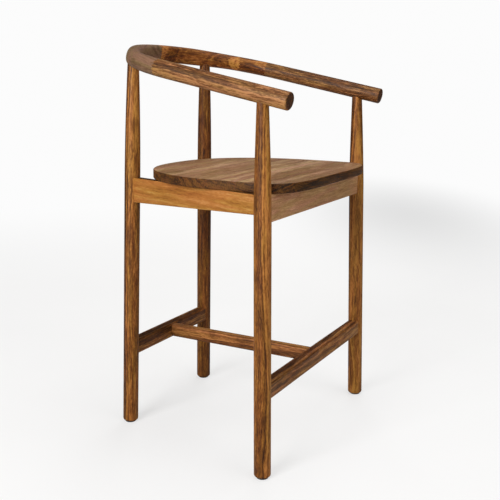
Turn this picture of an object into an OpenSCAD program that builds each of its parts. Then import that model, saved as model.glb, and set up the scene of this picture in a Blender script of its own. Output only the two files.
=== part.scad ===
// Counter-height bar stool with a footrest and a wrap-around arm and back rail.
// Millimetres. +Z is up and the sitter faces -Y. Left and right are as seen by someone
// who stands in front of the stool, so "left" means -X. The origin is on the floor,
// under the middle of the stool's overall box.

/* [Legs] */
// Distance between the axes of the two front feet, at the floor
front_feet_w = 562; // [550:1:575]
// Distance between the axes of the two back feet, at the floor
back_feet_w = 357; // [350:1:365]
// Distance from the front feet to the back feet, at the floor
feet_depth = 436; // [430:1:442]
// Lean of every leg towards the middle, seen from the front, in degrees
lean_across = 1.15; // [1:0.05:1.3]
// Lean of every leg towards the middle, seen from the side, in degrees
lean_along = 1.25; // [1.1:0.05:1.4]
// Diameter of a leg below the seat
leg_d = 38; // [36:0.5:40]
// Part of its radius that a front leg loses at its top end
front_taper = 0.34; // [0.2:0.01:0.36]
// Part of its radius that a back leg loses at its top end
back_taper = 0.3; // [0.2:0.01:0.36]
// Height at which the front legs start to taper
front_taper_z = 590; // [560:5:640]
// Height at which the back legs start to taper
back_taper_z = 600; // [560:5:640]
// How late the front legs' taper sets in (1 is a straight cone)
front_taper_power = 1.35; // [1:0.05:3]
// How late the back legs' taper sets in
back_taper_power = 2; // [1:0.05:3]
// Height of the front legs' shoulder, which is let into the arm
front_shoulder_z = 823; // [820:1:826]
// Height of the back legs' shoulder, which is let into the back rail
back_shoulder_z = 900; // [897:1:903]
// Radius of the rounded edge at the foot
foot_round = 5; // [2:0.5:7]
// Diameter of a floor glide
glide_d = 27; // [20:1:30]
// Thickness of a floor glide
glide_t = 3; // [2:0.5:5]

/* [Seat] */
// Height of the seat's top
seat_top_z = 650; // [648:1:660]
// Thickness of the seat
seat_t = 21; // [18:1:26]
// Greatest width of the seat
seat_w = 507; // [490:1:515]
// Distance from the seat's widest line to its back edge
seat_rear = 300; // [290:1:305]
// Distance from the seat's widest line to its front edge
seat_fore = 154; // [145:1:165]
// Widest line of the seat, behind the middle of the feet
seat_widest_y = -105; // [-110:1:-95]
// Width of the first board, at the front edge
front_board_w = 128; // [110:1:135]
// Width of the other boards
board_w = 110; // [100:1:115]

/* [Aprons] */
// Thickness of an apron
apron_t = 20; // [18:0.5:22]
// Distance from a leg's axis out to the aprons' outer face
apron_out = 9.5; // [8:0.5:11]
// Height of the front and back aprons
apron_h = 60.5; // [55:0.5:66]
// Height of a side apron at its front end, where it is narrowest
side_apron_front_h = 42.5; // [38:0.5:60]
// Thickness of the aprons' tenons
tenon_t = 9; // [7:0.5:10]

/* [Stretchers] */
// Height of the stretchers' top, the front one being the footrest
stretcher_top_z = 217; // [200:1:240]
// Height of the front and back stretchers' section
stretcher_h = 38; // [34:1:42]
// Width of the front and back stretchers' section
stretcher_w = 28; // [24:0.5:31]
// Height of the middle stretcher's section
middle_stretcher_h = 32; // [28:1:34]
// Width of the middle stretcher's section
middle_stretcher_w = 24.5; // [20:0.5:27]
// Radius of the stretchers' rounded edges
stretcher_round = 5; // [3:0.5:8]

/* [Top rail] */
// Slope of the rail from its back down to the front ends of the arms, in degrees
rail_slope = 11.39; // [11:0.05:11.8]
// Height of the rail's centre line over the middle of the feet
rail_z = 874.2; // [872:0.2:876]
// Diameter of the arms
arm_d = 38; // [37:0.5:39]
// Height of the back rail's section at its middle
back_h = 42.5; // [40:0.5:46]
// Thickness of the back rail's section at its middle
back_t = 28; // [28:0.5:32]
// Radius of the rail's back curve
back_radius = 292; // [288:1:296]
// Radius of the rail's two corner curves
corner_radius = 186.5; // [184:0.5:189]
// Half angle of the back curve, in degrees
back_angle = 44.4; // [44:0.1:45]
// Angle by which the arms spread towards the front, in degrees
arm_spread = 1.2; // [1:0.05:1.6]
// Distance from the middle of the feet to the back of the rail's centre line
back_reach = 248.8; // [246:0.2:250]
// Distance from the middle of the feet to the arms' front ends
arm_reach = 267.5; // [260:0.5:270]
// Rounding of the arms' front ends
arm_end_round = 2.5; // [1:0.5:4]
// Distance along the rail from its middle to the joint of arm and corner piece
arm_joint_u = 342; // [335:1:345]
// Distance along the rail from its middle to the joint of corner piece and back
back_joint_u = 264; // [258:1:270]

/* [Hidden] */

$fn = 64;

// Sides and ends of the stool, as signs along X and Y
LEFT = -1;
RIGHT = 1;
FRONT = -1;
BACK = 1;

// The feet's middle lies this far behind the middle of the overall box
feet_mid_y = 3.15;

wood_brown = [0.42, 0.24, 0.12];
wood_golden = [0.60, 0.36, 0.16];
wood_grey = [0.36, 0.26, 0.20];
wood_pale = [0.70, 0.55, 0.38];
glide_dark = [0.16, 0.15, 0.14];
screw_grey = [0.62, 0.62, 0.60];

module in_frame() {
    translate([0, feet_mid_y, 0]) children();
}

// ---------------------------------------------------------------- legs

leg_r = leg_d / 2;
taper_steps = 14;
top_tenon_r = 8;
top_tenon_h = 13;
glide_pin_r = 2;
glide_pin_h = 12;

function is_front(end) = end == FRONT;
function foot_x(side, end) = side * (is_front(end) ? front_feet_w : back_feet_w) / 2;
function foot_y(end) = end * feet_depth / 2;
function leg_lean(side, end) = [-side * tan(lean_across), -end * tan(lean_along)];

// Point of a leg's axis at height z, in plan
function leg_xy(side, end, z) =
    [foot_x(side, end), foot_y(end)] + z * leg_lean(side, end);

function taper_z(end) = is_front(end) ? front_taper_z : back_taper_z;
function taper_power(end) = is_front(end) ? front_taper_power : back_taper_power;
function shoulder_z(end) = is_front(end) ? front_shoulder_z : back_shoulder_z;
function leg_taper(end) = is_front(end) ? front_taper : back_taper;
function leg_radius(end, t) = leg_r * (1 - leg_taper(end) * pow(t, taper_power(end)));

module on_leg(side, end) {
    lean = leg_lean(side, end);
    tilt_x = -atan(lean.y / sqrt(1 + lean.x * lean.x));
    translate([foot_x(side, end), foot_y(end), 0])
        rotate([tilt_x, atan(lean.x), 0])
            children();
}

// The turned leg with its top tenon, before anything is cut in it
module leg_blank(side, end) {
    start_z = glide_t - 1;
    foot = [
        for (a = [0:22.5:90])
            [leg_r - foot_round * (1 - sin(a)), start_z + foot_round * (1 - cos(a))]
    ];
    taper = [
        for (i = [0:taper_steps])
            let (t = i / taper_steps)
            [leg_radius(end, t), taper_z(end) + t * (shoulder_z(end) - taper_z(end))]
    ];
    tenon_top = shoulder_z(end) + top_tenon_h;
    tenon = [[top_tenon_r, shoulder_z(end)], [top_tenon_r, tenon_top], [0, tenon_top]];
    on_leg(side, end)
        rotate_extrude()
            polygon(concat([[0, start_z]], foot, taper, tenon));
}

module glide_shape(side, end) {
    foot = leg_xy(side, end, 0);
    translate([foot.x, foot.y, 0]) {
        cylinder(h = glide_t, d = glide_d);
        cylinder(h = glide_t + glide_pin_h, r = glide_pin_r);
    }
}

module glide(side, end) {
    color(glide_dark) in_frame() glide_shape(side, end);
}

module leg(side, end) {
    foot = leg_xy(side, end, 0);
    color(wood_brown) in_frame()
        difference() {
            leg_blank(side, end);
            translate([foot.x, foot.y, glide_t / 2])
                cube([2 * leg_d, 2 * leg_d, glide_t], center = true);
            glide_shape(side, end);
            leg_mortises(side, end);
        }
}

// Pockets for the tenons of two aprons and, across the stool, one stretcher
module leg_mortises(side, end) {
    apron_tenons(across_apron(end));
    apron_tenons(along_apron(side));
    stretcher_tenon(side, end);
}

// ---------------------------------------------------------------- aprons

seat_under_z = seat_top_z - seat_t;
apron_mid_z = seat_under_z - apron_h / 2;
tenon_gap = 8;
tenon_reach = 24;
tenon_shoulder = 5;

// An apron is named by the two legs that it joins: [side, end, side, end]
FRONT_APRON = [LEFT, FRONT, RIGHT, FRONT];
BACK_APRON = [RIGHT, BACK, LEFT, BACK];
LEFT_APRON = [LEFT, BACK, LEFT, FRONT];
RIGHT_APRON = [RIGHT, FRONT, RIGHT, BACK];

// The two aprons that meet at a leg: one across the stool and one along it
function across_apron(end) = is_front(end) ? FRONT_APRON : BACK_APRON;
function along_apron(side) = side == LEFT ? LEFT_APRON : RIGHT_APRON;

function apron_start(a) = leg_xy(a[0], a[1], apron_mid_z);
function apron_end(a) = leg_xy(a[2], a[3], apron_mid_z);
function apron_length(a) = norm(apron_end(a) - apron_start(a));
function apron_heading(a) =
    let (d = apron_end(a) - apron_start(a))
    atan2(d.y, d.x);

// Height of an apron at one of its ends: the side aprons narrow towards the front
function apron_end_h(a, end) =
    (a[1] != a[3] && end == FRONT) ? side_apron_front_h : apron_h;

// The back apron sits further in and lower than the others, clear of the seat's back edge
back_apron_inset = 7;
back_apron_drop = 24;
function apron_face(a) = a == BACK_APRON ? apron_out - back_apron_inset : apron_out;
function apron_drop(a) = a == BACK_APRON ? back_apron_drop : 0;

// Frame of an apron: X along it from leg to leg, outer face towards -Y
module on_apron(a) {
    start = apron_start(a);
    translate([start.x, start.y, 0])
        rotate([0, 0, apron_heading(a)])
            children();
}

module apron_body(a) {
    length = apron_length(a);
    on_apron(a)
        translate([0, apron_t - apron_face(a), 0])
            rotate([90, 0, 0])
                linear_extrude(apron_t)
                    polygon([
                        [0, seat_under_z - apron_end_h(a, a[1])],
                        [length, seat_under_z - apron_end_h(a, a[3])],
                        [length, seat_under_z - apron_drop(a)],
                        [0, seat_under_z - apron_drop(a)]
                    ]);
}

// The two tenons of an apron, one in each leg
module apron_tenons(a) {
    length = apron_length(a);
    height = min(apron_h - apron_drop(a), side_apron_front_h) - 2 * tenon_shoulder;
    low = seat_under_z - apron_drop(a) - tenon_shoulder - height;
    on_apron(a)
        for (x = [tenon_gap, length - tenon_gap - tenon_reach])
            translate([x, (apron_t - tenon_t) / 2 - apron_face(a), low])
                cube([tenon_reach, tenon_t, height]);
}

module apron(a, tone) {
    color(tone) in_frame()
        difference() {
            union() {
                difference() {
                    apron_body(a);
                    leg_blank(a[0], a[1]);
                    leg_blank(a[2], a[3]);
                }
                apron_tenons(a);
            }
            screw_holes();
        }
}

// ---------------------------------------------------------------- blocks and batten

block_near = 34;
block_far = 74;
block_h = 32;
screw_shank_r = 2;
screw_head_r = 4;
screw_head_h = 3;
screw_len = 34;
screw_bite = 12;
batten_y = 92;
batten_w = 44;
batten_screw_x = 90;

// Inner corner of two aprons at a leg, in plan
function unit(v) = v / norm(v);
function apron_dir(a) = unit(apron_end(a) - apron_start(a));
function inward(a) = let (d = apron_dir(a)) [-d.y, d.x];
function inner_point(a) = apron_start(a) + (apron_t - apron_face(a)) * inward(a);
function cross2(p, q) = p.x * q.y - p.y * q.x;
function line_meet(p, d, q, e) = p + d * cross2(q - p, e) / cross2(d, e);

function inner_corner(side, end) =
    let (a = across_apron(end), b = along_apron(side))
    line_meet(inner_point(a), apron_dir(a), inner_point(b), apron_dir(b));

// Unit vectors that leave the inner corner along the two aprons
function away_across(side) = [-side, 0];
function away_along(side, end) =
    let (d = apron_dir(along_apron(side)))
    d * (d.y * end < 0 ? 1 : -1);

function block_top(end) = seat_under_z - apron_drop(across_apron(end));

// A diagonal block, mitred against the inner faces of its two aprons
module block_shape(side, end) {
    c = inner_corner(side, end);
    u = away_across(side);
    v = away_along(side, end);
    translate([0, 0, block_top(end) - block_h])
        linear_extrude(block_h)
            polygon([c + block_near * u, c + block_far * u,
                     c + block_far * v, c + block_near * v]);
}

module corner_block(side, end) {
    color(wood_pale) in_frame()
        difference() {
            block_shape(side, end);
            screw_holes();
        }
}

module screw() {
    cylinder(h = screw_head_h, r1 = screw_head_r, r2 = screw_shank_r);
    cylinder(h = screw_len, r = screw_shank_r);
}

// Screws point at the apron, their heads sunk in the block's diagonal face
module block_screw_pair(side, end) {
    c = inner_corner(side, end);
    u = away_across(side);
    v = away_along(side, end);
    at = (block_near + block_far) / 2;
    z = block_top(end) - block_h / 2;
    screw_to(c + at * u, -inward(across_apron(end)), z);
    screw_to(c + at * v, -inward(along_apron(side)), z);
}

// A screw whose shank ends screw_bite deep behind the face point p
module screw_to(p, direction, z) {
    start = p - (screw_len - screw_bite) * direction;
    translate([start.x, start.y, z])
        rotate([0, 0, atan2(direction.y, direction.x)])
            rotate([0, 90, 0])
                screw();
}

// Middle of a front corner block, in plan
function block_middle(side, end) =
    inner_corner(side, end)
    + (block_near + block_far) / 4 * (away_across(side) + away_along(side, end));

// An upright screw into the seat, through a front block or through the batten
module seat_screw(side, end) {
    p = is_front(end) ? block_middle(side, end) : [side * batten_screw_x, batten_y];
    translate([p.x, p.y, seat_under_z - screw_len + screw_bite])
        screw();
}

// Point of an apron's inner face at depth y, in plan
function inner_at(a, y) = line_meet(inner_point(a), apron_dir(a), [0, y], [1, 0]);

// A cross batten under the seat, mitred against the side aprons
module seat_batten() {
    near_y = batten_y - batten_w / 2;
    far_y = batten_y + batten_w / 2;
    thickness = screw_len - screw_bite;
    color(wood_pale) in_frame()
        difference() {
            translate([0, 0, seat_under_z - thickness])
                linear_extrude(thickness)
                    polygon([inner_at(LEFT_APRON, near_y), inner_at(RIGHT_APRON, near_y),
                             inner_at(RIGHT_APRON, far_y), inner_at(LEFT_APRON, far_y)]);
            screw_holes();
        }
}

module screw_holes() {
    for (side = [LEFT, RIGHT], end = [FRONT, BACK]) {
        block_screw_pair(side, end);
        seat_screw(side, end);
    }
}

module block_screws() {
    color(screw_grey) in_frame()
        for (side = [LEFT, RIGHT], end = [FRONT, BACK])
            block_screw_pair(side, end);
}

module seat_screws() {
    color(screw_grey) in_frame()
        for (side = [LEFT, RIGHT], end = [FRONT, BACK])
            seat_screw(side, end);
}

// ---------------------------------------------------------------- seat

// The outline is two superellipses that meet at the seat's widest line: a full,
// almost straight front and a rounder back
seat_front_power = 4.8;
seat_back_power = 2.35;
seat_outline_step = 5;

function signed_pow(value, power) = sign(value) * pow(abs(value), power);
function seat_edge(angle) =
    let (
        power = sin(angle) < 0 ? seat_front_power : seat_back_power,
        reach = sin(angle) < 0 ? seat_fore : seat_rear
    )
    [
        seat_w / 2 * signed_pow(cos(angle), 2 / power),
        seat_widest_y + reach * signed_pow(sin(angle), 2 / power)
    ];

module seat_outline() {
    polygon([for (a = [0:seat_outline_step:360 - seat_outline_step]) seat_edge(a)]);
}

seat_front_y = seat_widest_y - seat_fore;
seat_back_y = seat_widest_y + seat_rear;

// Front and back line of board i, counted from the front edge
function board_line(i) =
    i == 0 ? seat_front_y - 1
           : i == 4 ? seat_back_y + 1
                    : seat_front_y + front_board_w + (i - 1) * board_w;

module seat_board(i) {
    low_y = board_line(i - 1);
    high_y = board_line(i);
    color(wood_grey) in_frame()
        difference() {
            translate([0, 0, seat_under_z])
                linear_extrude(seat_t)
                    intersection() {
                        seat_outline();
                        translate([-seat_w, low_y])
                            square([2 * seat_w, high_y - low_y]);
                    }
            screw_holes();
        }
}

// ---------------------------------------------------------------- stretchers

stretcher_mid_z = stretcher_top_z - stretcher_h / 2;
stretcher_tenon_w = 12;
stretcher_tenon_h = 24;
stretcher_tenon_past = 8;
middle_tenon = 10;

function stretcher_y(end) = leg_xy(LEFT, end, stretcher_mid_z).y;
function stretcher_x(end) = leg_xy(RIGHT, end, stretcher_mid_z).x;

module rounded_section(w, h, r) {
    square([w - 2 * r, h], center = true);
    square([w, h - 2 * r], center = true);
    for (x = [-1, 1], y = [-1, 1])
        translate([x * (w / 2 - r), y * (h / 2 - r)])
            circle(r);
}

// Tenon of the cross stretcher at one leg, reaching just past the leg's axis
module stretcher_tenon(side, end) {
    x = stretcher_x(end) + stretcher_tenon_past;
    length = leg_r + stretcher_tenon_past + 4;
    translate([side * (x - length / 2), stretcher_y(end), stretcher_mid_z])
        cube([length, stretcher_tenon_w, stretcher_tenon_h], center = true);
}

module stretcher_cross(end) {
    length = 2 * stretcher_x(end);
    color(wood_brown) in_frame()
        difference() {
            union() {
                difference() {
                    translate([-length / 2, stretcher_y(end), stretcher_mid_z])
                        rotate([90, 0, 90])
                            linear_extrude(length)
                                rounded_section(stretcher_w, stretcher_h, stretcher_round);
                    leg_blank(LEFT, end);
                    leg_blank(RIGHT, end);
                }
                stretcher_tenon(LEFT, end);
                stretcher_tenon(RIGHT, end);
            }
            middle_stretcher_tenons();
        }
}

module middle_stretcher_tenons() {
    length = 2 * stretcher_y(BACK) - stretcher_w + 2 * middle_tenon;
    translate([0, 0, stretcher_mid_z])
        cube([stretcher_tenon_w, length, stretcher_tenon_h], center = true);
}

module stretcher_middle() {
    length = 2 * stretcher_y(BACK) - stretcher_w;
    color(wood_brown) in_frame()
        union() {
            translate([0, length / 2, stretcher_mid_z])
                rotate([90, 0, 0])
                    linear_extrude(length)
                        rounded_section(middle_stretcher_w, middle_stretcher_h,
                                        stretcher_round);
            middle_stretcher_tenons();
        }
}

// ---------------------------------------------------------------- top rail

// The rail's centre line lies in one sloping plane: a wide back arc, two tighter
// corner arcs and two straight arms. u is the distance along it from its middle,
// positive on the right side.
arm_r = arm_d / 2;
corner_end_angle = 90 - arm_spread;
arc_unit = PI / 180;
back_arc_u = back_radius * back_angle * arc_unit;
corner_arc_u = back_arc_u + corner_radius * (corner_end_angle - back_angle) * arc_unit;

// The back's full section runs to u = 108 and is round again from u = 260
blend_start_u = 108;
blend_end_u = 260;
section_sides = 28;
section_ring_u = 11;
round_power = 2;
back_power = 3.2;

back_centre = [0, back_reach - back_radius];
function spoke(angle) = [sin(angle), cos(angle)];
corner_centre = back_centre + (back_radius - corner_radius) * spoke(back_angle);
arm_start = corner_centre + corner_radius * spoke(corner_end_angle);
arm_end_u = corner_arc_u + (arm_start.y + arm_reach) / cos(arm_spread);

// Angle of the rail's outward direction at u, turned from the back
function rail_angle(u) =
    abs(u) < back_arc_u
        ? u / back_radius / arc_unit
        : sign(u) * min(corner_end_angle,
                        back_angle + (abs(u) - back_arc_u) / corner_radius / arc_unit);

function right_rail_point(u) =
    u < back_arc_u
        ? back_centre + back_radius * spoke(rail_angle(u))
        : u < corner_arc_u
            ? corner_centre + corner_radius * spoke(rail_angle(u))
            : arm_start + (u - corner_arc_u) * [sin(arm_spread), -cos(arm_spread)];

function rail_point(u) =
    let (p = right_rail_point(abs(u)))
    [u < 0 ? -p.x : p.x, p.y];

module in_rail_plane() {
    translate([0, 0, rail_z]) rotate([rail_slope, 0, 0]) children();
}

module mirror_to(side) {
    mirror([side == LEFT ? 1 : 0, 0, 0]) children();
}

// Frame of the rail at u: X along it towards the arm's end, Y outward
module at_rail(u) {
    p = rail_point(u);
    translate([p.x, p.y, 0]) rotate([0, 0, -rail_angle(u)]) children();
}

// Everything on the arm's side of a finger joint at u, or on its other side if the
// span is negative
joint_teeth = 6;
joint_tooth_h = 8;
joint_depth = 10;
joint_span = 80;

module beyond_joint(u, span = joint_span) {
    half_h = joint_teeth * joint_tooth_h / 2;
    teeth = [
        for (i = [0:joint_teeth])
            [joint_depth / 2 * (i % 2 == 0 ? -1 : 1), -half_h + i * joint_tooth_h]
    ];
    at_rail(u)
        rotate([90, 0, 0])
            linear_extrude(joint_span, center = true)
                polygon(concat(teeth, [[span, half_h], [span, -half_h]]));
}

// Share of the back's flatter section at u, eased between its two limits
function ease(t) = let (c = max(0, min(1, t))) c * c * (3 - 2 * c);
function flatness(u) = ease((blend_end_u - abs(u)) / (blend_end_u - blend_start_u));
function mix(a, b, t) = a + (b - a) * t;

// One ring of the rail's section at u, drawn in by inset
function section_ring(u, inset) =
    let (
        f = flatness(u),
        half_t = mix(arm_r, back_t / 2, f) - inset,
        half_h = mix(arm_r, back_h / 2, f) - inset,
        power = 2 / mix(round_power, back_power, f),
        p = rail_point(u),
        out = spoke(rail_angle(u))
    )
    [
        for (i = [0:section_sides - 1])
            let (
                a = 360 * i / section_sides,
                r = half_t * signed_pow(cos(a), power),
                z = half_h * signed_pow(sin(a), power)
            )
            [p.x + out.x * r, p.y + out.y * r, z]
    ];

// A closed solid through the rings at a list of [u, inset] stations
module rail_sweep(stations) {
    n = section_sides;
    last_ring = len(stations) - 1;
    points = [for (s = stations) each section_ring(s[0], s[1])];
    sides = [
        for (k = [0:last_ring - 1], i = [0:n - 1])
            let (j = (i + 1) % n)
            each [
                [k * n + i, k * n + j, (k + 1) * n + j],
                [k * n + i, (k + 1) * n + j, (k + 1) * n + i]
            ]
    ];
    first_cap = [for (i = [0:n - 1]) n - 1 - i];
    last_cap = [for (i = [0:n - 1]) last_ring * n + i];
    polyhedron(points, concat(sides, [first_cap, last_cap]));
}

// Evenly spaced stations without inset
function stations(from_u, to_u) =
    let (steps = ceil((to_u - from_u) / section_ring_u))
    [for (k = [0:steps]) [mix(from_u, to_u, k / steps), 0]];

module arm(side) {
    rounded_end = [
        for (a = [0:22.5:90])
            [arm_end_u - arm_end_round * (1 - sin(a)), arm_end_round * (1 - cos(a))]
    ];
    color(wood_brown) in_frame()
        difference() {
            in_rail_plane()
                mirror_to(side)
                    difference() {
                        rail_sweep(concat(stations(arm_joint_u - joint_depth, corner_arc_u),
                                          rounded_end));
                        beyond_joint(arm_joint_u, -2 * joint_depth);
                    }
            leg_blank(side, FRONT);
        }
}

// A round piece of the corner arc between the joints with the back and the arm
module rail_corner(side) {
    from_angle = rail_angle(back_joint_u - joint_depth);
    to_angle = rail_angle(arm_joint_u + joint_depth);
    color(wood_grey) in_frame()
        in_rail_plane()
            mirror_to(side)
                difference() {
                    intersection() {
                        translate([corner_centre.x, corner_centre.y, 0])
                            rotate([0, 0, 90 - to_angle])
                                rotate_extrude(angle = to_angle - from_angle)
                                    translate([corner_radius, 0])
                                        circle(arm_r);
                        beyond_joint(back_joint_u);
                    }
                    beyond_joint(arm_joint_u);
                }
}

// One half of the back: the halves meet in a finger joint in the middle
module rail_back(side, tone) {
    color(tone) in_frame()
        difference() {
            in_rail_plane()
                difference() {
                    mirror_to(side)
                        difference() {
                            rail_sweep(stations(-joint_depth, back_joint_u + joint_depth));
                            beyond_joint(back_joint_u);
                        }
                    beyond_joint(0, -2 * side * joint_depth);
                }
            leg_blank(side, BACK);
        }
}

// ---------------------------------------------------------------- nodes

leg(LEFT, FRONT);  // leg_front_left
leg(RIGHT, FRONT);  // leg_front_right
leg(LEFT, BACK);  // leg_back_left
leg(RIGHT, BACK);  // leg_back_right
glide(LEFT, FRONT);  // glide_front_left
glide(RIGHT, FRONT);  // glide_front_right
glide(LEFT, BACK);  // glide_back_left
glide(RIGHT, BACK);  // glide_back_right
apron(FRONT_APRON, wood_grey);  // apron_front
apron(BACK_APRON, wood_brown);  // apron_back
apron(LEFT_APRON, wood_golden);  // apron_left
apron(RIGHT_APRON, wood_golden);  // apron_right
corner_block(LEFT, FRONT);  // corner_block_front_left
corner_block(RIGHT, FRONT);  // corner_block_front_right
corner_block(LEFT, BACK);  // corner_block_back_left
corner_block(RIGHT, BACK);  // corner_block_back_right
seat_batten();
block_screws();
seat_screws();
seat_board(1);  // seat_board_1
seat_board(2);  // seat_board_2
seat_board(3);  // seat_board_3
seat_board(4);  // seat_board_4
stretcher_cross(FRONT);  // stretcher_front
stretcher_cross(BACK);  // stretcher_back
stretcher_middle();
arm(LEFT);  // arm_left
arm(RIGHT);  // arm_right
rail_corner(LEFT);  // rail_corner_left
rail_corner(RIGHT);  // rail_corner_right
rail_back(LEFT, wood_grey);  // rail_back_left
rail_back(RIGHT, wood_brown);  // rail_back_right
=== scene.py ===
import math

import bmesh
import bpy
from mathutils import Matrix, Vector


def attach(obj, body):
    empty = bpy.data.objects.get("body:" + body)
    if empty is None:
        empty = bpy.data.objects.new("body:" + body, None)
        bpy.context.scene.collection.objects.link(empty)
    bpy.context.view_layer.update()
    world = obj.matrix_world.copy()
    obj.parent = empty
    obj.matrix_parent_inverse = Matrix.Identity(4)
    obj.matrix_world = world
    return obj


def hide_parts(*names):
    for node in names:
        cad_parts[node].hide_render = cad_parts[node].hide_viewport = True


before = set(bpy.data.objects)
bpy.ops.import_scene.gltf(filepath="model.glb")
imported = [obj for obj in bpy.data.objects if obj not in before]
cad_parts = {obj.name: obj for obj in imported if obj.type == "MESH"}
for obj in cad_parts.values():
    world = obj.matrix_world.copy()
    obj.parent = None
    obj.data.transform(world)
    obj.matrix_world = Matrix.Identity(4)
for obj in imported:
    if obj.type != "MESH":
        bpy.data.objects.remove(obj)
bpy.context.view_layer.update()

# Sizes are in metres, in the frame of the CAD model: +Z up, the sitter faces -Y.
MM = 0.001
LEFT, RIGHT = -1, 1
FRONT, BACK = -1, 1
SIDE_NAMES = {LEFT: "left", RIGHT: "right"}
END_NAMES = {FRONT: "front", BACK: "back"}
CORNERS = [(side, end) for end in (FRONT, BACK) for side in (LEFT, RIGHT)]
FEET_MID_Y = 3.15 * MM


# ---------------------------------------------------------------- node helpers


def srgb(r, g, b):
    """Linear colour of an 8-bit display colour."""
    def linear(value):
        value /= 255
        return value / 12.92 if value <= 0.04045 else ((value + 0.055) / 1.055) ** 2.4
    return (linear(r), linear(g), linear(b), 1.0)


def new_material(name):
    material = bpy.data.materials.new(name)
    material.use_nodes = True
    material.node_tree.nodes.clear()
    return material, material.node_tree


def feed(tree, socket, value):
    """Links a socket, or sets a plain value."""
    if isinstance(value, bpy.types.NodeSocket):
        tree.links.new(value, socket)
    else:
        socket.default_value = value


def maths(tree, operation, first, second=0.0, clamp=False):
    node = tree.nodes.new("ShaderNodeMath")
    node.operation = operation
    node.use_clamp = clamp
    feed(tree, node.inputs[0], first)
    feed(tree, node.inputs[1], second)
    return node.outputs[0]


def vectors(tree, operation, first, second):
    node = tree.nodes.new("ShaderNodeVectorMath")
    node.operation = operation
    feed(tree, node.inputs[0], first)
    feed(tree, node.inputs[1], second)
    return node.outputs["Value" if operation == "DOT_PRODUCT" else "Vector"]


def length(tree, vector):
    node = tree.nodes.new("ShaderNodeVectorMath")
    node.operation = "LENGTH"
    tree.links.new(vector, node.inputs[0])
    return node.outputs["Value"]


def noise(tree, vector, stretch, detail=2.0, roughness=0.5, output="Fac"):
    node = tree.nodes.new("ShaderNodeTexNoise")
    node.inputs["Scale"].default_value = 1.0
    node.inputs["Detail"].default_value = detail
    node.inputs["Roughness"].default_value = roughness
    tree.links.new(vectors(tree, "MULTIPLY", vector, stretch), node.inputs["Vector"])
    return node.outputs[output]


def line_noise(tree, value, scale, detail=2.0):
    """Noise along one dimension."""
    node = tree.nodes.new("ShaderNodeTexNoise")
    node.noise_dimensions = "1D"
    node.inputs["Scale"].default_value = scale
    node.inputs["Detail"].default_value = detail
    tree.links.new(value, node.inputs["W"])
    return node.outputs["Fac"]


def between(tree, value, low, high, to_low=0.0, to_high=1.0):
    """Smoothly maps low..high of a value to to_low..to_high."""
    node = tree.nodes.new("ShaderNodeMapRange")
    node.interpolation_type = "SMOOTHSTEP"
    feed(tree, node.inputs["Value"], value)
    feed(tree, node.inputs["From Min"], low)
    feed(tree, node.inputs["From Max"], high)
    feed(tree, node.inputs["To Min"], to_low)
    feed(tree, node.inputs["To Max"], to_high)
    return node.outputs["Result"]


def ramp(tree, value, stops):
    node = tree.nodes.new("ShaderNodeValToRGB")
    points = node.color_ramp.elements
    while len(points) < len(stops):
        points.new(0.5)
    for point, (position, colour) in zip(points, stops):
        point.position = position
        point.color = colour
    tree.links.new(value, node.inputs["Fac"])
    return node.outputs["Color"]


def mixed(tree, factor, first, second, blend="MIX"):
    node = tree.nodes.new("ShaderNodeMix")
    node.data_type = "RGBA"
    node.blend_type = blend
    feed(tree, node.inputs["Factor"], factor)
    feed(tree, node.inputs["A"], first)
    feed(tree, node.inputs["B"], second)
    return node.outputs["Result"]


def attribute(tree, name, output):
    """A value that add_piece stores at the vertices of a mesh."""
    node = tree.nodes.new("ShaderNodeAttribute")
    node.attribute_name = name
    return node.outputs[output]


def bump(tree, height, strength, distance):
    node = tree.nodes.new("ShaderNodeBump")
    node.inputs["Strength"].default_value = strength
    node.inputs["Distance"].default_value = distance
    tree.links.new(height, node.inputs["Height"])
    return node.outputs["Normal"]


def principled(tree, colour, roughness, normal, **settings):
    shader = tree.nodes.new("ShaderNodeBsdfPrincipled")
    feed(tree, shader.inputs["Base Color"], colour)
    feed(tree, shader.inputs["Roughness"], roughness)
    feed(tree, shader.inputs["Normal"], normal)
    for socket, value in settings.items():
        shader.inputs[socket.replace("_", " ")].default_value = value
    output = tree.nodes.new("ShaderNodeOutputMaterial")
    tree.links.new(shader.outputs[0], output.inputs["Surface"])


def object_place(tree):
    return tree.nodes.new("ShaderNodeTexCoord").outputs["Object"]


def unlike_camera(tree, thrown, seen):
    """One shader for what light meets, another for what the camera sees."""
    blend = tree.nodes.new("ShaderNodeMixShader")
    tree.links.new(tree.nodes.new("ShaderNodeLightPath").outputs["Is Camera Ray"],
                   blend.inputs[0])
    tree.links.new(thrown.outputs[0], blend.inputs[1])
    tree.links.new(seen.outputs[0], blend.inputs[2])
    return blend.outputs[0]


# ---------------------------------------------------------------- materials

# Distances from the pith in metres, and shares of a wood's colour ramp
HEARTWOOD_RADIUS = 0.044
SAP_EDGE = 0.0015
HEART_SHARE = -0.3


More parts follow.
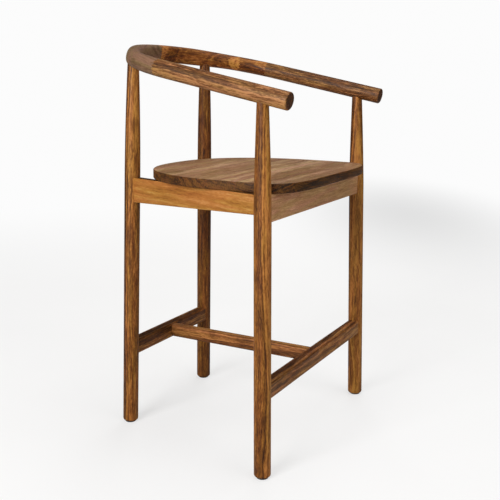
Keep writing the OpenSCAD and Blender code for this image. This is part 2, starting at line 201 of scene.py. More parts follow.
def wood(name, stops, ring=0.0055, figure=1.0, contrast=1.0, flecks=0.5, sapwood=0.16,
         grain=None, satin=0.50):
    """Oiled solid wood. Its grain lies in the piece's own "grain" coordinates, in metres,
    X along the fibres and the pith of the trunk on the X axis, so that a curve sawn
    through it shows the rings as it would in the real plank. ring is the rings' width,
    figure how far they wander, contrast and sapwood how far the colour moves along its
    stops, flecks how dark the small flecks are and satin the middle roughness."""
    material, tree = new_material(name)
    place = attribute(tree, "grain", "Vector") if grain is None else grain(tree)
    tone = attribute(tree, "tone", "Fac") if grain is None else 0.0

    def shifted(base, layer, amount):
        centred = vectors(tree, "SUBTRACT", layer, (0.5, 0.5, 0.5))
        return vectors(tree, "ADD", base,
                       vectors(tree, "MULTIPLY", centred, (0.0, amount, amount)))

    bent = shifted(place, noise(tree, place, (2.4, 11, 11), output="Color"), 0.030 * figure)
    bent = shifted(bent, noise(tree, place, (14, 60, 60), output="Color"), 0.004 * figure)
    radius = length(tree, vectors(tree, "MULTIPLY", bent, (0, 1, 1)))

    # Layers of colour, wide rings to fine fibres, each with its share
    fibre = noise(tree, bent, (28, 700, 700), 3.0, 0.6)
    layers = (
        (line_noise(tree, radius, 1.3 / ring, 3.0), 0.46),
        (line_noise(tree, radius, 0.35 / ring, 1.0), 0.32),
        (noise(tree, place, (3.5, 24, 24), 2.0), 0.40),
        (noise(tree, bent, (22, 240, 240), 3.0, 0.65), 0.75),
        (noise(tree, bent, (110, 520, 520), 2.0, 0.6), 0.40),
        (fibre, 0.25),
    )
    depth = maths(tree, "ADD", tone, 0.5)
    for layer, share in layers:
        centred = maths(tree, "SUBTRACT", layer, 0.5)
        depth = maths(tree, "ADD", depth, maths(tree, "MULTIPLY", centred, share * contrast))
    sap = between(tree, radius, HEARTWOOD_RADIUS - SAP_EDGE, HEARTWOOD_RADIUS + SAP_EDGE,
                  HEART_SHARE * sapwood, sapwood)
    depth = maths(tree, "ADD", depth, sap, clamp=True)
    colour = ramp(tree, depth, stops)
    drift = between(tree, noise(tree, place, (7, 70, 70), 2.0), 0.35, 0.65)
    tint = mixed(tree, drift, (1.05, 0.96, 1.02, 1), (0.97, 1.03, 0.84, 1))
    colour = mixed(tree, 1.0, colour, tint, "MULTIPLY")

    dark_fleck = between(tree, noise(tree, bent, (45, 430, 430), 2.0, 0.55),
                         0.58, 0.68, 0.0, flecks)
    colour = mixed(tree, dark_fleck, colour, (0.30, 0.20, 0.14, 1), "MULTIPLY")
    dark_pore = between(tree, noise(tree, bent, (95, 1500, 1500), 1.0), 0.60, 0.68, 0.0, 0.4)
    colour = mixed(tree, dark_pore, colour, (0.35, 0.26, 0.20, 1), "MULTIPLY")

    worn = noise(tree, place, (9, 24, 24), 3.0)
    roughness = maths(tree, "ADD", between(tree, fibre, 0.3, 0.7, -0.05, 0.07),
                      between(tree, worn, 0.3, 0.75, satin - 0.05, satin + 0.09))
    hollow = maths(tree, "ADD", maths(tree, "MULTIPLY", dark_pore, 1.2), dark_fleck)
    height = maths(tree, "SUBTRACT", maths(tree, "MULTIPLY", fibre, 0.6), hollow)
    principled(tree, colour, roughness, bump(tree, height, 0.35, 0.0004),
               Specular_IOR_Level=0.20, Coat_Weight=0.02, Coat_Roughness=0.30)
    return material


CAD_GRAIN_SHIFT = (0.4, 0.35, -0.55)


def object_grain(tree):
    """Grain along X in the plain object coordinates of a CAD node."""
    return vectors(tree, "ADD", object_place(tree), CAD_GRAIN_SHIFT)


def matte_plastic(name, colour):
    material, tree = new_material(name)
    place = object_place(tree)
    speckle = noise(tree, place, (900, 900, 900), 2.0)
    scuff = noise(tree, place, (60, 60, 60), 4.0, 0.65)
    shade = between(tree, scuff, 0.35, 0.75)
    colour = mixed(tree, shade, colour, tuple(1.6 * c for c in colour[:3]) + (1,))
    roughness = between(tree, scuff, 0.3, 0.7, 0.48, 0.68)
    principled(tree, colour, roughness, bump(tree, speckle, 0.25, 0.0001))
    return material


def brushed_steel(name):
    material, tree = new_material(name)
    place = object_place(tree)
    brushing = noise(tree, place, (2500, 2500, 250), 2.0)
    stain = noise(tree, place, (140, 140, 140), 3.0)
    colour = mixed(tree, stain, srgb(150, 150, 146), srgb(204, 203, 198))
    roughness = between(tree, brushing, 0.3, 0.7, 0.26, 0.44)
    principled(tree, colour, roughness, bump(tree, brushing, 0.2, 0.0001), Metallic=1.0)
    return material


LEG_WOOD = wood("leg_wood", [
    (0.22, srgb(46, 20, 4)), (0.42, srgb(89, 50, 16)),
    (0.58, srgb(121, 74, 27)), (0.78, srgb(168, 114, 54))],
    ring=0.0045, contrast=1.15, flecks=0.7)
ARM_WOOD = wood("arm_wood", [
    (0.22, srgb(44, 21, 6)), (0.42, srgb(82, 49, 21)),
    (0.58, srgb(112, 73, 38)), (0.78, srgb(164, 118, 74))],
    contrast=1.4, flecks=0.7)
RAIL_WOOD = wood("rail_wood", [
    (0.22, srgb(40, 16, 2)), (0.42, srgb(86, 44, 10)),
    (0.58, srgb(122, 71, 24)), (0.78, srgb(172, 116, 58))],
    figure=1.2, contrast=1.2, flecks=0.6)
CORNER_WOOD = wood("rail_corner_wood", [
    (0.22, srgb(54, 36, 22)), (0.42, srgb(77, 54, 36)),
    (0.58, srgb(94, 69, 49)), (0.78, srgb(122, 94, 72))], contrast=0.9)
SIDE_WOOD = wood("apron_side_wood", [
    (0.22, srgb(112, 64, 20)), (0.42, srgb(142, 90, 36)),
    (0.58, srgb(158, 106, 48)), (0.78, srgb(178, 130, 72))],
    ring=0.007, contrast=0.9, flecks=0.2, sapwood=0.05)
FRONT_WOOD = wood("apron_front_wood", [
    (0.22, srgb(134, 90, 56)), (0.42, srgb(168, 122, 85)),
    (0.58, srgb(185, 139, 101)), (0.78, srgb(212, 168, 130))],
    ring=0.007, contrast=0.9, flecks=0.3, sapwood=0.05)
SEAT_WOOD = wood("seat_wood", [
    (0.22, srgb(90, 60, 35)), (0.42, srgb(124, 89, 58)),
    (0.58, srgb(144, 109, 77)), (0.78, srgb(178, 142, 109))],
    ring=0.008, contrast=1.1, flecks=0.5, sapwood=0.06)
# Painted shade: a much darker copy of the boards' wood, for the seat's edge band and the aprons'
# top and bottom faces, while the lit faces of the same boards get their own wood.
PAINTED_SHADE_WOOD = wood("painted_shade_wood", [
    (0.22, srgb(18, 7, 0)), (0.42, srgb(38, 18, 2)),
    (0.58, srgb(58, 31, 6)), (0.78, srgb(100, 62, 24))], contrast=1.3)
STRETCHER_WOOD = wood("stretcher_wood", [
    (0.22, srgb(48, 22, 6)), (0.42, srgb(90, 52, 20)),
    (0.58, srgb(124, 78, 36)), (0.78, srgb(170, 116, 64))], contrast=1.1, flecks=0.6)
END_WOOD = wood("end_grain_wood", [
    (0.22, srgb(30, 13, 5)), (0.42, srgb(56, 30, 12)),
    (0.58, srgb(80, 46, 22)), (0.78, srgb(116, 77, 45))], flecks=0.6, satin=0.60)
BLOCK_WOOD = wood("block_wood", [
    (0.22, srgb(146, 104, 62)), (0.42, srgb(178, 138, 94)),
    (0.58, srgb(196, 160, 116)), (0.78, srgb(218, 188, 148))],
    flecks=0.15, sapwood=0.05, grain=object_grain, satin=0.62)
GLIDE_PLASTIC = matte_plastic("glide_plastic", srgb(38, 35, 32))
SCREW_STEEL = brushed_steel("screw_steel")


# ---------------------------------------------------------------- mesh helpers


class Plank:
    """Where a piece lies in the wood it was sawn from: the direction of its fibres, the
    pith's place beside it, in metres, a start along the trunk and a shift of its tone."""

    def __init__(self, origin, along, pith, start, tone, up=(0, 0, 1)):
        self.origin = Vector(origin)
        self.along = Vector(along).normalized()
        self.side = Vector(up).cross(self.along).normalized()
        self.up = self.along.cross(self.side)
        self.pith = pith
        self.start = start
        self.tone = tone

    def coordinates(self, point):
        p = point - self.origin
        return (p.dot(self.along) + self.start,
                p.dot(self.side) - self.pith[0],
                p.dot(self.up) - self.pith[1])


def add_piece(name, bm, materials, plank, nodes, smooth_angle=38):
    """Makes an object of a bmesh, stores its grain and tone, hangs it on the root body and hides
    the CAD nodes it replaces.
    """
    bmesh.ops.recalc_face_normals(bm, faces=bm.faces)
    mesh = bpy.data.meshes.new(name)
    bm.to_mesh(mesh)
    bm.free()
    mesh.shade_smooth()
    mesh.set_sharp_from_angle(angle=math.radians(smooth_angle))
    for material in materials:
        mesh.materials.append(material)
    if plank:
        places = [plank.coordinates(vertex.co) for vertex in mesh.vertices]
        grain = mesh.attributes.new("grain", "FLOAT_VECTOR", "POINT")
        grain.data.foreach_set("vector", [value for place in places for value in place])
        tone = mesh.attributes.new("tone", "FLOAT", "POINT")
        tone.data.foreach_set("value", [plank.tone] * len(places))
    piece = bpy.data.objects.new(name, mesh)
    bpy.context.scene.collection.objects.link(piece)
    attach(piece, "root")
    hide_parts(*nodes)


def tube(rings, cap_material=0):
    """A closed skin over a list of rings, which all have the same number of points."""
    bm = bmesh.new()
    loops = [[bm.verts.new(point) for point in ring] for ring in rings]
    count = len(rings[0])
    for low, high in zip(loops, loops[1:]):
        for i in range(count):
            j = (i + 1) % count
            bm.faces.new((low[i], low[j], high[j], high[i]))
    for loop in (loops[0], loops[-1]):
        bm.faces.new(loop).material_index = cap_material
    return bm


# ---------------------------------------------------------------- legs

LEG_RADIUS = 19 * MM
LEG_SEGMENTS = 48
LEG_START = 3.6 * MM
FOOT_ROUND = 5 * MM
FOOT_STEPS = 6
TAPER_STEPS = 24
FEET_WIDTH = {FRONT: 562 * MM, BACK: 357 * MM}
FEET_DEPTH = 436 * MM
LEAN_ACROSS = math.tan(math.radians(1.15))
LEAN_ALONG = math.tan(math.radians(1.25))
TAPER = {FRONT: 0.34, BACK: 0.30}
TAPER_Z = {FRONT: 590 * MM, BACK: 600 * MM}
TAPER_POWER = {FRONT: 1.35, BACK: 2.0}
SHOULDER_Z = {FRONT: 823 * MM, BACK: 900 * MM}


def leg_point(side, end, z):
    """Point of a leg's axis at height z."""
    return Vector((side * (FEET_WIDTH[end] / 2 - LEAN_ACROSS * z),
                   FEET_MID_Y + end * (FEET_DEPTH / 2 - LEAN_ALONG * z), z))


def leg_profile(end):
    """(distance up the axis, radius) from the foot to the shoulder."""
    profile = []
    for i in range(FOOT_STEPS + 1):
        turn = math.pi / 2 * i / FOOT_STEPS
        profile.append((LEG_START + FOOT_ROUND * (1 - math.cos(turn)),
                        LEG_RADIUS - FOOT_ROUND * (1 - math.sin(turn))))
    rise = SHOULDER_Z[end] - TAPER_Z[end]
    for i in range(TAPER_STEPS + 1):
        t = i / TAPER_STEPS
        profile.append((TAPER_Z[end] + t * rise,
                        LEG_RADIUS * (1 - TAPER[end] * t ** TAPER_POWER[end])))
    return profile


def turned(base, axis, profile, segments):
    """Rings of a turned piece round an axis."""
    axis = axis.normalized()
    across = Vector((1, 0, 0)).cross(axis).normalized()
    sideways = axis.cross(across)
    turns = [2 * math.pi * i / segments for i in range(segments)]
    return [[base + axis * s + r * (math.cos(t) * sideways + math.sin(t) * across)
             for t in turns] for s, r in profile]


LEG_PLANKS = {
    (LEFT, FRONT): ((-0.018, 0.034), 1.30, 0.03),
    (RIGHT, FRONT): ((0.030, 0.022), 3.10, -0.04),
    (LEFT, BACK): ((0.012, 0.040), 5.70, -0.09),
    (RIGHT, BACK): ((-0.030, -0.018), 7.90, 0.02),
}


def make_leg(side, end):
    name = f"leg_{END_NAMES[end]}_{SIDE_NAMES[side]}"
    base = leg_point(side, end, 0)
    axis = leg_point(side, end, 1) - base
    pith, start, tone = LEG_PLANKS[side, end]
    plank = Plank(base, axis, pith, start, tone, up=(0, 1, 0))
    bm = tube(turned(base, axis, leg_profile(end), LEG_SEGMENTS), cap_material=1)
    add_piece(f"{name}_wood", bm, [LEG_WOOD, END_WOOD], plank, [name])


GLIDE_RADIUS = 13.5 * MM
GLIDE_HEIGHT = 3.7 * MM
GLIDE_ROUND = 1 * MM


def make_glide(side, end):
    name = f"glide_{END_NAMES[end]}_{SIDE_NAMES[side]}"
    profile = [(0, 0.4 * GLIDE_RADIUS), (0, GLIDE_RADIUS - GLIDE_ROUND)]
    for i in range(1, 5):
        turn = math.pi / 2 * i / 4
        profile.append((GLIDE_ROUND * (1 - math.cos(turn)),
                        GLIDE_RADIUS - GLIDE_ROUND * (1 - math.sin(turn))))
    profile.append((GLIDE_HEIGHT, GLIDE_RADIUS))
    rings = turned(leg_point(side, end, 0), Vector((0, 0, 1)), profile, 40)
    add_piece(f"{name}_disc", tube(rings), [GLIDE_PLASTIC], None, [name])


# ---------------------------------------------------------------- aprons

SEAT_TOP = 650 * MM
SEAT_UNDER = 629 * MM
APRON_T = 20 * MM
APRON_OUT = 9.5 * MM
APRON_H = 60.5 * MM
SIDE_FRONT_H = 42.5 * MM
BACK_INSET, BACK_DROP = 7 * MM, 24 * MM
APRON_GAP = 10.5 * MM
APRON_EDGE = 1.6 * MM


def make_apron(name, first, second, heights, face, material, pith, tone=0.0, drop=0.0):
    """A board from one leg to the next, its outer face to the right of its heading."""
    mid_z = SEAT_UNDER - APRON_H / 2
    start, stop = (leg_point(*corner, mid_z) for corner in (first, second))
    start.z = stop.z = SEAT_UNDER - drop
    along = (stop - start).normalized()
    outward = along.cross(Vector((0, 0, 1)))
    length = (stop - start).length
    slope = (heights[1] - heights[0]) / length
    bm = bmesh.new()
    corners = []
    for x in (APRON_GAP, length - APRON_GAP):
        for y in (face, face - APRON_T):
            for z in (0.0, -(heights[0] + slope * x)):
                corners.append(bm.verts.new(start + along * x + outward * y + Vector((0, 0, z))))
    for face_corners in ((0, 1, 3, 2), (4, 5, 7, 6), (0, 1, 5, 4),
                         (2, 3, 7, 6), (0, 2, 6, 4), (1, 3, 7, 5)):
        bm.faces.new([corners[i] for i in face_corners])
    bmesh.ops.recalc_face_normals(bm, faces=bm.faces[:])
    bmesh.ops.bevel(bm, geom=bm.edges[:], offset=APRON_EDGE, segments=3, profile=0.5,
                    affect="EDGES", clamp_overlap=True)
    bm.normal_update()
    # Painted shade: the top face, in the gap under the seat, and the bottom face get the dark
    # wood.
    for part in bm.faces:
        part.material_index = 1 if abs(part.normal.z) > 0.8 else 0
    plank = Plank(start, along, pith, 2.0 * pith[0] + 0.7, tone)
    add_piece(f"{name}_board", bm, [material, PAINTED_SHADE_WOOD], plank, [name])


# ---------------------------------------------------------------- seat

SEAT_HALF_W = 253.5 * MM
SEAT_WIDEST_Y = FEET_MID_Y - 105 * MM
SEAT_FORE, SEAT_REAR = 154 * MM, 300 * MM
SEAT_FRONT_POWER, SEAT_BACK_POWER = 4.8, 2.35
SEAT_POINTS = 288
SEAT_LINES = [-260, -131, -21, 89, 196]
SEAT_JOIN_GAP = 0.12 * MM
SEAT_JOIN_EDGE = 0.7 * MM
SEAT_ROUND = 2.0 * MM
TINY = 0.005 * MM
SHARP = 1.0  # a turn between two faces, in radians


def signed_power(value, power):
    return math.copysign(abs(value) ** power, value)


def seat_outline():
    """Points and outward normals of the seat's edge."""
    points = []
    for i in range(SEAT_POINTS):
        turn = 2 * math.pi * (i + 0.5) / SEAT_POINTS
        rear = math.sin(turn) > 0
        power = 2 / (SEAT_BACK_POWER if rear else SEAT_FRONT_POWER)
        reach = SEAT_REAR if rear else SEAT_FORE
        points.append(Vector((SEAT_HALF_W * signed_power(math.cos(turn), power),
                              SEAT_WIDEST_Y + reach * signed_power(math.sin(turn), power), 0)))
    normals = []
    for i, point in enumerate(points):
        heading = points[(i + 1) % SEAT_POINTS] - points[i - 1]
        normals.append(Vector((heading.y, -heading.x, 0)).normalized())
    return points, normals


def seat_profile():
    """(height, inset) up the seat's edge."""
    steps = [math.pi / 2 * i / 5 for i in range(6)]
    rounding = [(SEAT_ROUND * (1 - math.sin(t)), SEAT_ROUND * (1 - math.cos(t))) for t in steps]
    return ([(SEAT_UNDER + rise, inset) for rise, inset in reversed(rounding)]
            + [(SEAT_TOP - rise, inset) for rise, inset in rounding])


def make_seat_board(index, pith, start, tone):
    """One board, cut out of the whole seat between two joint lines."""
    name = f"seat_board_{index}"
    points, normals = seat_outline()
    rings = [[p - inset * n + Vector((0, 0, z)) for p, n in zip(points, normals)]
             for z, inset in seat_profile()]
    bm = tube(rings)
    # Painted shade: the seat's edge band gets the dark wood, its flat top and underside the lit
    # seat wood.
    for face in bm.faces:
        z = face.calc_center_median().z
        flat = min(abs(z - SEAT_UNDER), abs(z - SEAT_TOP)) < 2 * TINY
        face.material_index = 0 if flat else 1
    low = FEET_MID_Y + SEAT_LINES[index - 1] * MM + SEAT_JOIN_GAP
    high = FEET_MID_Y + SEAT_LINES[index] * MM - SEAT_JOIN_GAP
    for y, direction in ((low, -1), (high, 1)):
        cut = bmesh.ops.bisect_plane(
            bm, geom=bm.verts[:] + bm.edges[:] + bm.faces[:], plane_co=(0, y, 0),
            plane_no=(0, direction, 0), clear_outer=True)
        edges = [item for item in cut["geom_cut"] if isinstance(item, bmesh.types.BMEdge)]
        if edges:
            bmesh.ops.holes_fill(bm, edges=edges)
    joint_edges = [e for e in bm.edges
                   if abs(e.verts[0].co.y - e.verts[1].co.y) < 1e-6
                   and abs(e.verts[0].co.z - e.verts[1].co.z) < 1e-6
                   and e.calc_length() > 100 * MM and len(e.link_faces) == 2
                   and abs(e.calc_face_angle()) > SHARP]
    bmesh.ops.bevel(bm, geom=joint_edges, offset=SEAT_JOIN_EDGE, segments=2, profile=0.5,
                    affect="EDGES", clamp_overlap=True)
    bmesh.ops.dissolve_degenerate(bm, dist=TINY, edges=bm.edges[:])
    plank = Plank((0, (low + high) / 2, (SEAT_UNDER + SEAT_TOP) / 2), (1, 0, 0),
                  pith, start, tone)
    add_piece(f"{name}_wood", bm, [SEAT_WOOD, PAINTED_SHADE_WOOD], plank, [name])


# ---------------------------------------------------------------- stretchers

STRETCHER_TOP = 217 * MM
STRETCHER_W, STRETCHER_H = 28 * MM, 38 * MM
MIDDLE_W, MIDDLE_H = 24.5 * MM, 32 * MM
STRETCHER_ROUND = 5 * MM
STRETCHER_INTO_LEG = 8 * MM
STRETCHER_COPE = 3 * MM


def stretcher_section(width, height):
    """Rounded rectangle as (across, height) points."""
    points = []
    for quarter in range(4):
        for i in range(9):
            turn = math.pi / 2 * (quarter + i / 8)
            sign_x = 1 if quarter in (0, 3) else -1
            sign_z = 1 if quarter in (0, 1) else -1
            points.append((
                sign_x * (width / 2 - STRETCHER_ROUND) + STRETCHER_ROUND * math.cos(turn),
                sign_z * (height / 2 - STRETCHER_ROUND) + STRETCHER_ROUND * math.sin(turn)))
    return points


def make_stretcher(name, start, stop, width, height, pith, tone=0.0):
    along = (stop - start).normalized()
    across = Vector((0, 0, 1)).cross(along)
    rings = [[end + across * x + Vector((0, 0, z)) for x, z in stretcher_section(width, height)]
             for end in (start, stop)]
    plank = Plank(start, along, pith, 4 * pith[1], tone)
    add_piece(f"{name}_wood", tube(rings), [STRETCHER_WOOD], plank, [name])


# ---------------------------------------------------------------- top rail

RAIL_SLOPE = math.radians(11.39)
RAIL_Z = 874.2 * MM
RAIL_R = 19 * MM
BACK_HALF_T, BACK_HALF_H, BACK_POWER = 14 * MM, 21.25 * MM, 3.2
BACK_RADIUS, CORNER_RADIUS = 292 * MM, 186.5 * MM
BACK_ANGLE = math.radians(44.4)
ARM_SPREAD = math.radians(1.2)
CORNER_END_ANGLE = math.pi / 2 - ARM_SPREAD
BACK_REACH, ARM_REACH = 248.8 * MM, 267.5 * MM
BLEND_START, BLEND_END = 108 * MM, 260 * MM
ARM_JOINT, BACK_JOINT = 342 * MM, 264 * MM
TOOTH_H, TOOTH_DEPTH = 8 * MM, 5 * MM
ARM_END_ROUND = 2.5 * MM
RAIL_STEP = 8 * MM

BACK_ARC = BACK_RADIUS * BACK_ANGLE
CORNER_ARC = BACK_ARC + CORNER_RADIUS * (CORNER_END_ANGLE - BACK_ANGLE)
RAIL_FRAME = (Matrix.Translation((0, FEET_MID_Y, RAIL_Z))
              @ Matrix.Rotation(RAIL_SLOPE, 4, "X"))


def spoke(angle):
    return Vector((math.sin(angle), math.cos(angle), 0))


BACK_CENTRE = Vector((0, BACK_REACH - BACK_RADIUS, 0))
CORNER_CENTRE = BACK_CENTRE + (BACK_RADIUS - CORNER_RADIUS) * spoke(BACK_ANGLE)
ARM_START = CORNER_CENTRE + CORNER_RADIUS * spoke(CORNER_END_ANGLE)
ARM_END = CORNER_ARC + (ARM_START.y + ARM_REACH) / math.cos(ARM_SPREAD)


def rail_at(u):
    """Point of the rail's centre line and its outward direction, u along it from the
    middle of the back, positive on the right."""
    a = abs(u)
    if a < BACK_ARC:
        angle = a / BACK_RADIUS
        point = BACK_CENTRE + BACK_RADIUS * spoke(angle)
    elif a < CORNER_ARC:
        angle = BACK_ANGLE + (a - BACK_ARC) / CORNER_RADIUS
        point = CORNER_CENTRE + CORNER_RADIUS * spoke(angle)
    else:
        angle = CORNER_END_ANGLE
        point = ARM_START + (a - CORNER_ARC) * Vector(
            (math.sin(ARM_SPREAD), -math.cos(ARM_SPREAD), 0))
    out = spoke(angle)
    if u < 0:
        point.x, out.x = -point.x, -out.x
    return point, out


def section_angles():
    """Angles round the section, with points at every tooth tip of the finger joints."""
    half = []
    levels = [0] + [math.asin(k * TOOTH_H / RAIL_R) for k in (1, 2)] + [math.pi / 2]
    for low, high in zip(levels, levels[1:]):
        half += [low + (high - low) * i / 4 for i in range(4)]
    upper = half + [math.pi / 2] + [math.pi - a for a in reversed(half[1:])]
    return upper + [a + math.pi for a in upper]


SECTION_ANGLES = section_angles()


def tooth(z):
    """Shift of a finger joint along the rail at height z of its section."""
    place = (z / TOOTH_H) % 2
    return TOOTH_DEPTH * (1 - 2 * abs(place if place <= 1 else 2 - place))


def rail_ring(u, inset=0.0, jagged=False):
    flat = (BLEND_END - abs(u)) / (BLEND_END - BLEND_START)
    flat = max(0.0, min(1.0, flat))
    flat = flat * flat * (3 - 2 * flat)
    half_t = RAIL_R + (BACK_HALF_T - RAIL_R) * flat - inset
    half_h = RAIL_R + (BACK_HALF_H - RAIL_R) * flat - inset
    power = 2 / (2 + (BACK_POWER - 2) * flat)
    ring = []
    for angle in SECTION_ANGLES:
        out = half_t * signed_power(math.cos(angle), power)
        z = half_h * signed_power(math.sin(angle), power)
        shift = math.copysign(tooth(z), u) if jagged else 0.0
        point, outward = rail_at(u + shift)
        ring.append(RAIL_FRAME @ (point + outward * out + Vector((0, 0, z))))
    return ring


def steps_between(start, stop):
    count = math.ceil(abs(stop - start) / RAIL_STEP)
    return [start + (stop - start) * i / count for i in range(1, count)]


def capped_rail(rings):
    """A skin over rail rings whose caps are strips between the two faces, in the second
    material."""
    bm = tube(rings)
    bm.faces.ensure_lookup_table()
    bmesh.ops.delete(bm, geom=bm.faces[-2:], context="FACES_ONLY")
    bm.verts.ensure_lookup_table()
    count = len(SECTION_ANGLES)
    half = count // 2
    for base in (0, (len(rings) - 1) * count):
        loop = [bm.verts[base + i] for i in range(count)]
        quarter = half // 2
        for k in range(-quarter, quarter):
            corners = [loop[k], loop[k + 1], loop[half - k - 1], loop[half - k]]
            corners = list(dict.fromkeys(corners))
            bm.faces.new(corners).material_index = 1
    return bm


def rail_piece(name, rings, material, plank):
    add_piece(f"{name}_wood", capped_rail(rings), [material, END_WOOD], plank, [name],
              smooth_angle=30)


def rail_plank(from_u, to_u, pith, start, tone):
    """A straight plank that runs from one end of a rail piece to the other."""
    first, last = (RAIL_FRAME @ rail_at(u)[0] for u in (from_u, to_u))
    return Plank((first + last) / 2, last - first, pith, start, tone)


def make_arm(side, pith, start, tone):
    rings = [rail_ring(side * ARM_JOINT, jagged=True)]
    rings += [rail_ring(side * u) for u in steps_between(ARM_JOINT, ARM_END - ARM_END_ROUND)]
    for i in range(6):
        turn = math.pi / 2 * i / 5
        rings.append(rail_ring(side * (ARM_END - ARM_END_ROUND * (1 - math.sin(turn))),
                               ARM_END_ROUND * (1 - math.cos(turn))))
    plank = rail_plank(side * CORNER_ARC, side * ARM_END, pith, start, tone)
    rail_piece(f"arm_{SIDE_NAMES[side]}", rings, ARM_WOOD, plank)


def make_rail_corner(side, material, pith, start, tone):
    us = steps_between(BACK_JOINT, ARM_JOINT)
    rings = ([rail_ring(side * BACK_JOINT, jagged=True)]
             + [rail_ring(side * u) for u in us]
             + [rail_ring(side * ARM_JOINT, jagged=True)])
    plank = rail_plank(side * BACK_JOINT, side * ARM_JOINT, pith, start, tone)
    rail_piece(f"rail_corner_{SIDE_NAMES[side]}", rings, material, plank)


def make_rail_back(side, material, pith, start, tone):
    """One half of the back, from the finger joint in the middle."""
    rings = ([rail_ring(0.0, jagged=True)]
             + [rail_ring(side * u) for u in steps_between(0, BACK_JOINT)]
             + [rail_ring(side * BACK_JOINT, jagged=True)])
    plank = rail_plank(0.0, side * BACK_JOINT, pith, start, tone)
    rail_piece(f"rail_back_{SIDE_NAMES[side]}", rings, material, plank)


# ---------------------------------------------------------------- build

for side, end in CORNERS:
    make_leg(side, end)
    make_glide(side, end)

make_apron("apron_front", (LEFT, FRONT), (RIGHT, FRONT), (APRON_H, APRON_H), APRON_OUT,
           FRONT_WOOD, (0.06, 0.05))
make_apron("apron_back", (RIGHT, BACK), (LEFT, BACK),
           (APRON_H - BACK_DROP, APRON_H - BACK_DROP), APRON_OUT - BACK_INSET,
           FRONT_WOOD, (0.05, -0.06), drop=BACK_DROP)
make_apron("apron_left", (LEFT, BACK), (LEFT, FRONT), (APRON_H, SIDE_FRONT_H), APRON_OUT,
           SIDE_WOOD, (0.05, 0.01))
make_apron("apron_right", (RIGHT, FRONT), (RIGHT, BACK), (SIDE_FRONT_H, APRON_H), APRON_OUT,
           SIDE_WOOD, (0.055, -0.03))

for index, pith, start, tone in ((1, (0.02, 0.10), 0.3, -0.02), (2, (-0.03, 0.09), 2.2, 0.03),
                                 (3, (0.05, -0.08), 4.6, 0.0), (4, (0.01, -0.11), 6.4, 0.02)):
    make_seat_board(index, pith, start, tone)

stretcher_mid = STRETCHER_TOP - STRETCHER_H / 2
for end, pith, tone in ((FRONT, (0.04, 0.03), -0.06), (BACK, (-0.03, 0.045), -0.06)):
    ends = [leg_point(side, end, stretcher_mid) - side * Vector((STRETCHER_INTO_LEG, 0, 0))
            for side in (LEFT, RIGHT)]
    make_stretcher(f"stretcher_{END_NAMES[end]}", *ends, STRETCHER_W, STRETCHER_H, pith, tone)
middle_ends = [Vector((0, leg_point(LEFT, end, stretcher_mid).y
                       - end * (STRETCHER_W / 2 - STRETCHER_COPE), stretcher_mid))
               for end in (FRONT, BACK)]
make_stretcher("stretcher_middle", *middle_ends, MIDDLE_W, MIDDLE_H, (0.035, -0.04))

make_arm(LEFT, (0.018, 0.024), 1.1, 0.04)
make_arm(RIGHT, (-0.022, 0.020), 3.7, 0.04)
make_rail_corner(LEFT, CORNER_WOOD, (0.05, 0.04), 5.1, 0.03)
make_rail_corner(RIGHT, RAIL_WOOD, (0.018, -0.024), 6.3, -0.04)
make_rail_back(LEFT, CORNER_WOOD, (0.06, 0.03), 8.2, 0.04)
make_rail_back(RIGHT, RAIL_WOOD, (0.040, 0.004), 9.6, 0.08)

block_names = [f"corner_block_{END_NAMES[end]}_{SIDE_NAMES[side]}" for side, end in CORNERS]
for name, material in ([(name, BLOCK_WOOD) for name in block_names + ["seat_batten"]]
                       + [(name, SCREW_STEEL) for name in ("block_screws", "seat_screws")]):
    kept = bpy.data.objects[name]
    kept.data.materials.clear()
    kept.data.materials.append(material)


# ---------------------------------------------------------------- stage

BACKDROP = 0.972
FLOOR_RADIUS = 9.0
FLOOR_SEEN = ((0.73, 0.73, 0.73, 1), (0.77, 0.77, 0.77, 1))
FLOOR_THROWN = (0.46, 0.44, 0.41, 1)
FLOOR_GLOW = (0.62, 1.0)  # shares of glow near the stool and far from it
GLOW_FROM, GLOW_TO = 0.8, 3.6
# A soft painted shadow on the floor off to the right: its place, turn, size and darkest level.
SHADOW_PATCH_AT = (3.2, 0.55, 0.0)
SHADOW_PATCH_TURN = math.radians(28)
SHADOW_PATCH_SIZE = (2.4, 1.0, 1.0)
SHADOW_PATCH_LEVEL = 0.78
ROOM_COLOUR = (1.0, 0.95, 0.88, 1)
ROOM_STRENGTH = (0.05, 0.42)  # away from the key light and towards it
ROOM_TOWARDS_KEY = (-0.85, 0.25, 0.45)
LIGHT_TARGET = Vector((0, 0, 0.45))
CAMERA_AT = (-1.75103, -0.97120, 0.87485)
CAMERA_BACK = Vector((-0.86028, -0.46353, 0.21226))
CAMERA_LEVEL = Vector((0.47434, -0.88034, 0.0))
CAMERA_ROLL = math.radians(0.4657)
CAMERA_LENS = 58.405
CAMERA_SENSOR = 36


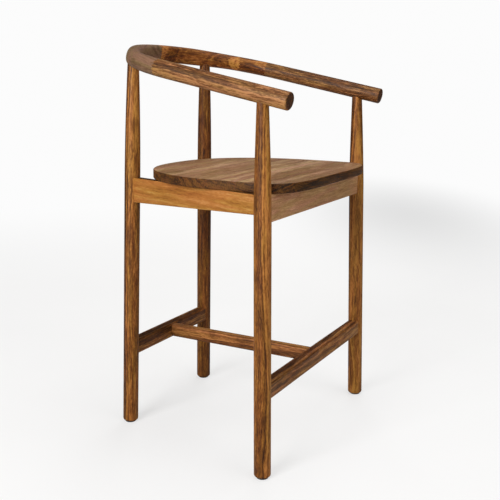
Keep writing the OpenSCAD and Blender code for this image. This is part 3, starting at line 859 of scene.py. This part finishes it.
def make_floor():
    """A plain pale floor that turns into the backdrop's white far away. Off to the right a soft
    painted shadow makes it a little darker. What it throws back on the stool is dimmer than what
    is seen of it."""
    material, tree = new_material("floor")
    place = object_place(tree)
    glow_share = between(tree, length(tree, place), GLOW_FROM, GLOW_TO, *FLOOR_GLOW)
    # Painted shadow: a soft ellipse off to the right darkens the floor's glow.
    shadow_patch = tree.nodes.new("ShaderNodeMapping")
    shadow_patch.vector_type = "TEXTURE"
    shadow_patch.inputs["Location"].default_value = SHADOW_PATCH_AT
    shadow_patch.inputs["Rotation"].default_value = (0, 0, SHADOW_PATCH_TURN)
    shadow_patch.inputs["Scale"].default_value = SHADOW_PATCH_SIZE
    tree.links.new(place, shadow_patch.inputs["Vector"])
    shade = between(tree, length(tree, shadow_patch.outputs[0]), 0.0, 1.0, SHADOW_PATCH_LEVEL, 1.0)
    cloud = noise(tree, place, (3, 3, 3), 3.0)
    diffuse = tree.nodes.new("ShaderNodeBsdfDiffuse")
    feed(tree, diffuse.inputs["Color"], mixed(tree, cloud, *FLOOR_SEEN))
    glow = tree.nodes.new("ShaderNodeEmission")
    # The glow carries the painted shadow.
    feed(tree, glow.inputs["Strength"], maths(tree, "MULTIPLY", shade, BACKDROP))
    seen = tree.nodes.new("ShaderNodeMixShader")
    feed(tree, seen.inputs[0], glow_share)
    tree.links.new(diffuse.outputs[0], seen.inputs[1])
    tree.links.new(glow.outputs[0], seen.inputs[2])
    thrown = tree.nodes.new("ShaderNodeBsdfDiffuse")
    thrown.inputs["Color"].default_value = FLOOR_THROWN
    output = tree.nodes.new("ShaderNodeOutputMaterial")
    tree.links.new(unlike_camera(tree, thrown, seen), output.inputs["Surface"])
    bm = bmesh.new()
    bmesh.ops.create_circle(bm, cap_ends=True, segments=96, radius=FLOOR_RADIUS)
    mesh = bpy.data.meshes.new("floor")
    bm.to_mesh(mesh)
    bm.free()
    mesh.materials.append(material)
    floor = bpy.data.objects.new("floor", mesh)
    bpy.context.scene.collection.objects.link(floor)


def make_world():
    """A white backdrop. The room's own light on the stool is dimmer, and stronger on the
    side of the key light."""
    world = bpy.data.worlds.new("studio")
    world.use_nodes = True
    tree = world.node_tree
    tree.nodes.clear()
    seen = tree.nodes.new("ShaderNodeBackground")
    seen.inputs["Color"].default_value = (BACKDROP, BACKDROP, BACKDROP, 1)
    direction = tree.nodes.new("ShaderNodeTexCoord").outputs["Generated"]
    towards_key = vectors(tree, "DOT_PRODUCT", direction, ROOM_TOWARDS_KEY)
    room = tree.nodes.new("ShaderNodeBackground")
    room.inputs["Color"].default_value = ROOM_COLOUR
    feed(tree, room.inputs["Strength"], between(tree, towards_key, -0.6, 1.0, *ROOM_STRENGTH))
    output = tree.nodes.new("ShaderNodeOutputWorld")
    tree.links.new(unlike_camera(tree, room, seen), output.inputs["Surface"])
    bpy.context.scene.world = world


def add_light(name, azimuth, elevation, distance, size, power, shines=True):
    """A square soft box, turned to the middle of the stool. Azimuth 0 is in front of it,
    90 at its left side. One that doesn't shine leaves no gloss on the wood."""
    data = bpy.data.lights.new(name, "AREA")
    data.size = size
    data.energy = power
    light = bpy.data.objects.new(name, data)
    a, e = math.radians(azimuth), math.radians(elevation)
    away = Vector((-math.sin(a) * math.cos(e), -math.cos(a) * math.cos(e), math.sin(e)))
    light.location = LIGHT_TARGET + distance * away
    light.rotation_euler = away.to_track_quat("Z", "Y").to_euler()
    light.visible_glossy = shines
    bpy.context.scene.collection.objects.link(light)


def make_camera():
    """The photograph's view, framed as it is."""
    back = CAMERA_BACK.normalized()
    level = CAMERA_LEVEL.normalized()
    upright = back.cross(level)
    right = math.cos(CAMERA_ROLL) * level + math.sin(CAMERA_ROLL) * upright
    up = back.cross(right)
    data = bpy.data.cameras.new("camera")
    data.lens = CAMERA_LENS
    data.sensor_width = CAMERA_SENSOR
    camera = bpy.data.objects.new("camera", data)
    rotation = Matrix((right, up, back)).transposed().to_4x4()
    camera.matrix_world = Matrix.Translation(CAMERA_AT) @ rotation
    bpy.context.scene.collection.objects.link(camera)
    bpy.context.scene.camera = camera


make_floor()
make_world()
add_light("key", azimuth=96, elevation=24, distance=4.4, size=2.0, power=190)
add_light("fill", azimuth=12, elevation=24, distance=4.2, size=2.4, power=42)
add_light("overhead", azimuth=-30, elevation=72, distance=2.8, size=2.0, power=34)
add_light("rim", azimuth=255, elevation=30, distance=4.2, size=2.6, power=75, shines=False)
make_camera()
bpy.context.scene.view_settings.view_transform = "Standard"
